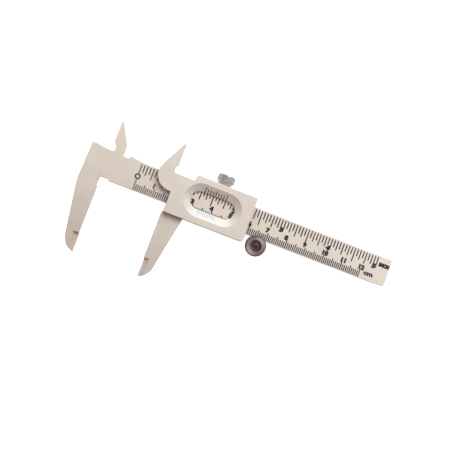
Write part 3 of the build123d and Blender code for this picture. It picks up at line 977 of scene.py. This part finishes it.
@dataclass
class ThumbRoller:
    """The dished thumb wheel with its riveted axle and its washer.

    The radii are in millimetres, and groove_skew is the part of a full turn that the highlights lean.
    """

    rim: Colour = (0.13, 0.105, 0.105)
    ring: Colour = (0.4, 0.32, 0.31)
    dish: Colour = (0.155, 0.095, 0.088)
    tarnish: Colour = (0.05, 0.035, 0.033)
    rivet: Colour = (0.1, 0.08, 0.08)
    dish_end: float = 2.75
    ring_start: float = 3.0
    ring_end: float = 4.55
    rim_start: float = 4.8
    rim_radius: float = 5.25
    groove_skew: float = 0.125

    def build(self) -> None:
        """Dress the wheel, the axle and the washer."""
        low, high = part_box("thumb_roller")
        wheel = TurnedMetal(
            "turned_roller",
            centre=(low + high) / 2,
            across=(1.0, 1.0, 0.0),
            zones=(
                (0.0, self.dish),
                (self.dish_end, self.dish),
                (self.ring_start, self.ring),
                (self.ring_end, self.ring),
                (self.rim_start, self.rim),
                (self.rim_radius, self.rim),
            ),
            tarnish=self.tarnish,
            roughness=0.32,
            anisotropy=0.75,
            groove_turn=ACROSS_GROOVES + self.groove_skew,
        )
        dress("thumb_roller", wheel.material())
        dress("roller_axle", PlatedMetal("riveted_steel", self.rivet, self.tarnish).material())
        dress("roller_washer", PlatedMetal("washer_steel", self.rivet, self.tarnish).material())


@dataclass
class CoverScrews:
    """The four countersunk screws in the back cover."""

    count: int = 4
    zinc: Colour = (0.5, 0.5, 0.51)
    dark_zinc: Colour = (0.12, 0.11, 0.11)

    def build(self) -> None:
        """Dress each screw."""
        zinc = PlatedMetal("zinc_plate", self.zinc, self.dark_zinc).material()
        for number in range(1, self.count + 1):
            dress(f"cover_screw_{number}", zinc)


def direction(lean: float, bearing: float) -> Vector:
    """Find a direction that leans away from straight up.

    Args:
        lean: Its angle from straight up, in degrees.
        bearing: The way it leans, in degrees from X towards Y.

    Returns:
        The direction, one unit long.
    """
    tilt, turn = math.radians(lean), math.radians(bearing)
    out = math.sin(tilt)
    return Vector((out * math.cos(turn), out * math.sin(turn), math.cos(tilt)))


@dataclass(frozen=True)
class Lamp:
    """One soft square lamp that looks at the middle of the caliper.

    The power is in watts, the size and the distance in metres, the lean and the bearing in degrees.
    """

    name: str
    power: float
    size: float
    distance: float
    lean: float
    bearing: float
    tint: Colour

    def hang(self, middle: Vector) -> None:
        """Hang the lamp.

        Args:
            middle: The place that it looks at.
        """
        toward = direction(self.lean, self.bearing)
        data = bpy.data.lights.new(self.name, "AREA")
        data.energy = self.power
        data.size = self.size
        data.color = self.tint
        lamp = bpy.data.objects.new(self.name, data)
        lamp.location = middle + toward * self.distance
        lamp.rotation_mode = "QUATERNION"
        lamp.rotation_quaternion = toward.to_track_quat("Z", "Y")
        bpy.context.scene.collection.objects.link(lamp)


@dataclass
class Studio:
    """A white table under soft light, seen by the camera from above.

    The target is what the middle of the picture shows, in millimetres from the zero of the beam's face.
    The distance and the gap under the caliper are in millimetres, the floor's size in metres.
    """

    target: tuple[float, float, float] = (48.249, 0.337, 0.0)
    distance: float = 330.0
    lean: float = 6.583
    lean_bearing: float = 206.1
    picture_turn: float = 20.989
    lens: float = 53.685
    nearest: float = 0.01
    floor_size: float = 40.0
    floor_gap: float = 0.02
    floor_colour: Colour = (0.93, 0.93, 0.93)
    floor_glow: float = 0.8
    floor_bounce: float = 0.3
    sky: float = 0.2
    sky_glow: float = 0.7
    sky_tint: Colour = (1.0, 0.93, 0.88)
    lamps: tuple[Lamp, ...] = (
        Lamp(
            "window",
            power=1.63,
            size=0.36,
            distance=0.42,
            lean=51.0,
            bearing=92.0,
            tint=(0.78, 0.98, 1.0),
        ),
        Lamp(
            "ceiling",
            power=0.655,
            size=0.36,
            distance=0.42,
            lean=35.0,
            bearing=92.0,
            tint=(1.0, 0.93, 0.9),
        ),
        Lamp(
            "side",
            power=0.126,
            size=0.12,
            distance=0.22,
            lean=50.0,
            bearing=30.0,
            tint=(0.89, 0.92, 1.0),
        ),
        Lamp(
            "fill",
            power=0.326,
            size=0.3,
            distance=0.45,
            lean=60.0,
            bearing=180.0,
            tint=(0.7, 0.65, 1.0),
        ),
    )

    def camera(self, face: PrintedFace) -> None:
        """Place the camera where the photograph was taken from.

        Args:
            face: The beam's face, which the view is centred on.
        """
        back = direction(self.lean, self.lean_bearing)
        turn = math.radians(self.picture_turn)
        right = Vector((-math.sin(turn), math.cos(turn), 0.0)).cross(back).normalized()
        place = face.zero + Vector(self.target) * MM + back * self.distance * MM
        data = bpy.data.cameras.new("camera")
        data.lens = self.lens
        data.clip_start = self.nearest
        camera = bpy.data.objects.new("camera", data)
        turned = Matrix((right, back.cross(right), back)).transposed().to_4x4()
        camera.matrix_world = Matrix.Translation(place) @ turned
        bpy.context.scene.collection.objects.link(camera)
        bpy.context.scene.camera = camera

    def floor(self) -> None:
        """Lay the table under the caliper, whiter to the eye than the light that it throws back."""
        canvas = MaterialCanvas(
            "white_table",
            Base_Color=rgba(self.floor_colour),
            Roughness=0.8,
            Emission_Color=(1.0, 1.0, 1.0, 1.0),
        )
        seen = canvas.add("ShaderNodeLightPath").outputs["Is Camera Ray"]
        shown = self.floor_glow - self.floor_bounce
        canvas.feed("Emission Strength", canvas.math("MULTIPLY_ADD", seen, shown, self.floor_bounce))
        mesh = bmesh.new()
        bmesh.ops.create_grid(mesh, x_segments=1, y_segments=1, size=self.floor_size / 2)
        data = bpy.data.meshes.new("table")
        mesh.to_mesh(data)
        mesh.free()
        data.materials.append(canvas.material)
        table = bpy.data.objects.new("table", data)
        table.location.z = CAD_BOX[0].z - self.floor_gap * MM
        bpy.context.scene.collection.objects.link(table)

    def world(self) -> None:
        """Fill the room with even, slightly warm light, and make its walls look pale."""
        world = bpy.data.worlds.new("room")
        world.use_nodes = True
        canvas = NodeCanvas(world.node_tree)
        canvas.tree.nodes.clear()
        seen = canvas.add("ShaderNodeLightPath").outputs["Is Camera Ray"]
        strength = canvas.math("MULTIPLY_ADD", seen, self.sky_glow, self.sky)
        light = canvas.add("ShaderNodeBackground", {"Color": rgba(self.sky_tint), "Strength": strength})
        canvas.add("ShaderNodeOutputWorld", {"Surface": light.outputs[0]})
        bpy.context.scene.world = world

    def build(self, face: PrintedFace) -> None:
        """Set up the camera, the table and the lights.

        Args:
            face: The beam's face.
        """
        self.camera(face)
        self.floor()
        self.world()
        middle = (CAD_BOX[0] + CAD_BOX[1]) / 2
        for lamp in self.lamps:
            lamp.hang(middle)
        bpy.context.scene.view_settings.view_transform = "Standard"
        LOG.info("studio: camera, table and %d lamps", len(self.lamps))


def main() -> None:
    """Build the caliper's looks in order."""
    logging.basicConfig(level=logging.INFO, format="%(name)s: %(message)s")
    black = PrintedInk("black_ink", (0.02, 0.011, 0.028), (0.17, 0.15, 0.15)).material()
    blue = PrintedInk("blue_ink", (0.38, 0.46, 0.64), (0.66, 0.68, 0.74)).material()
    beam = Beam()
    beam.build(MouldedPlastic("beam_plastic").material(), black)
    slider_plastic = MouldedPlastic(
        "slider_plastic", light=(0.725, 0.605, 0.525), deep=(0.67, 0.555, 0.475)
    )
    Slider().build(beam.face(), slider_plastic.material(), black, blue)
    LockScrew().build()
    ThumbRoller().build()
    CoverScrews().build()
    Studio().build(beam.face())


if __name__ == "__main__":
    main()
